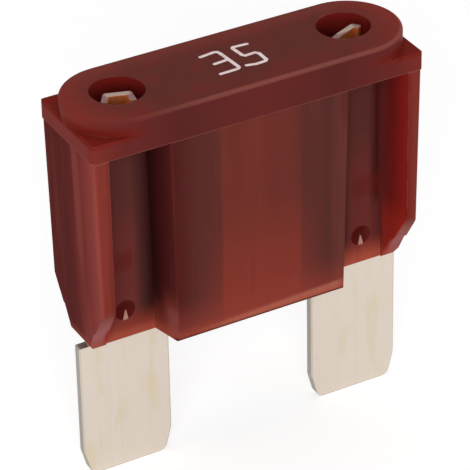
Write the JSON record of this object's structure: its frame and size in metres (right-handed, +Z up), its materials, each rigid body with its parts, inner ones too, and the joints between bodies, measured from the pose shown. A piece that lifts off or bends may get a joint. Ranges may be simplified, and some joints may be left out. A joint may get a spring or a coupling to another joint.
{
  "type": "automotive blade fuse",
  "caption": "Large plug-in blade fuse: translucent moulded housing with oval top, probe holes, end rails and link chamber, holding a one-piece plated strip with flat blades.",
  "frame": {"origin": "middle of the part in plan, at the height of the blade tips", "axes": "+Z up, away from the blade tips; X along the width; the front looks to -Y"},
  "size_m": [0.0292, 0.0088, 0.0343],
  "materials": {
    "housing_plastic": "translucent red-brown moulding, soft gloss",
    "plated_strip": "dull warm silver plating"
  },
  "bodies": {
    "root": {"housing": "housing_plastic", "fuse_strip": "plated_strip"}
  },
  "joints": []
}
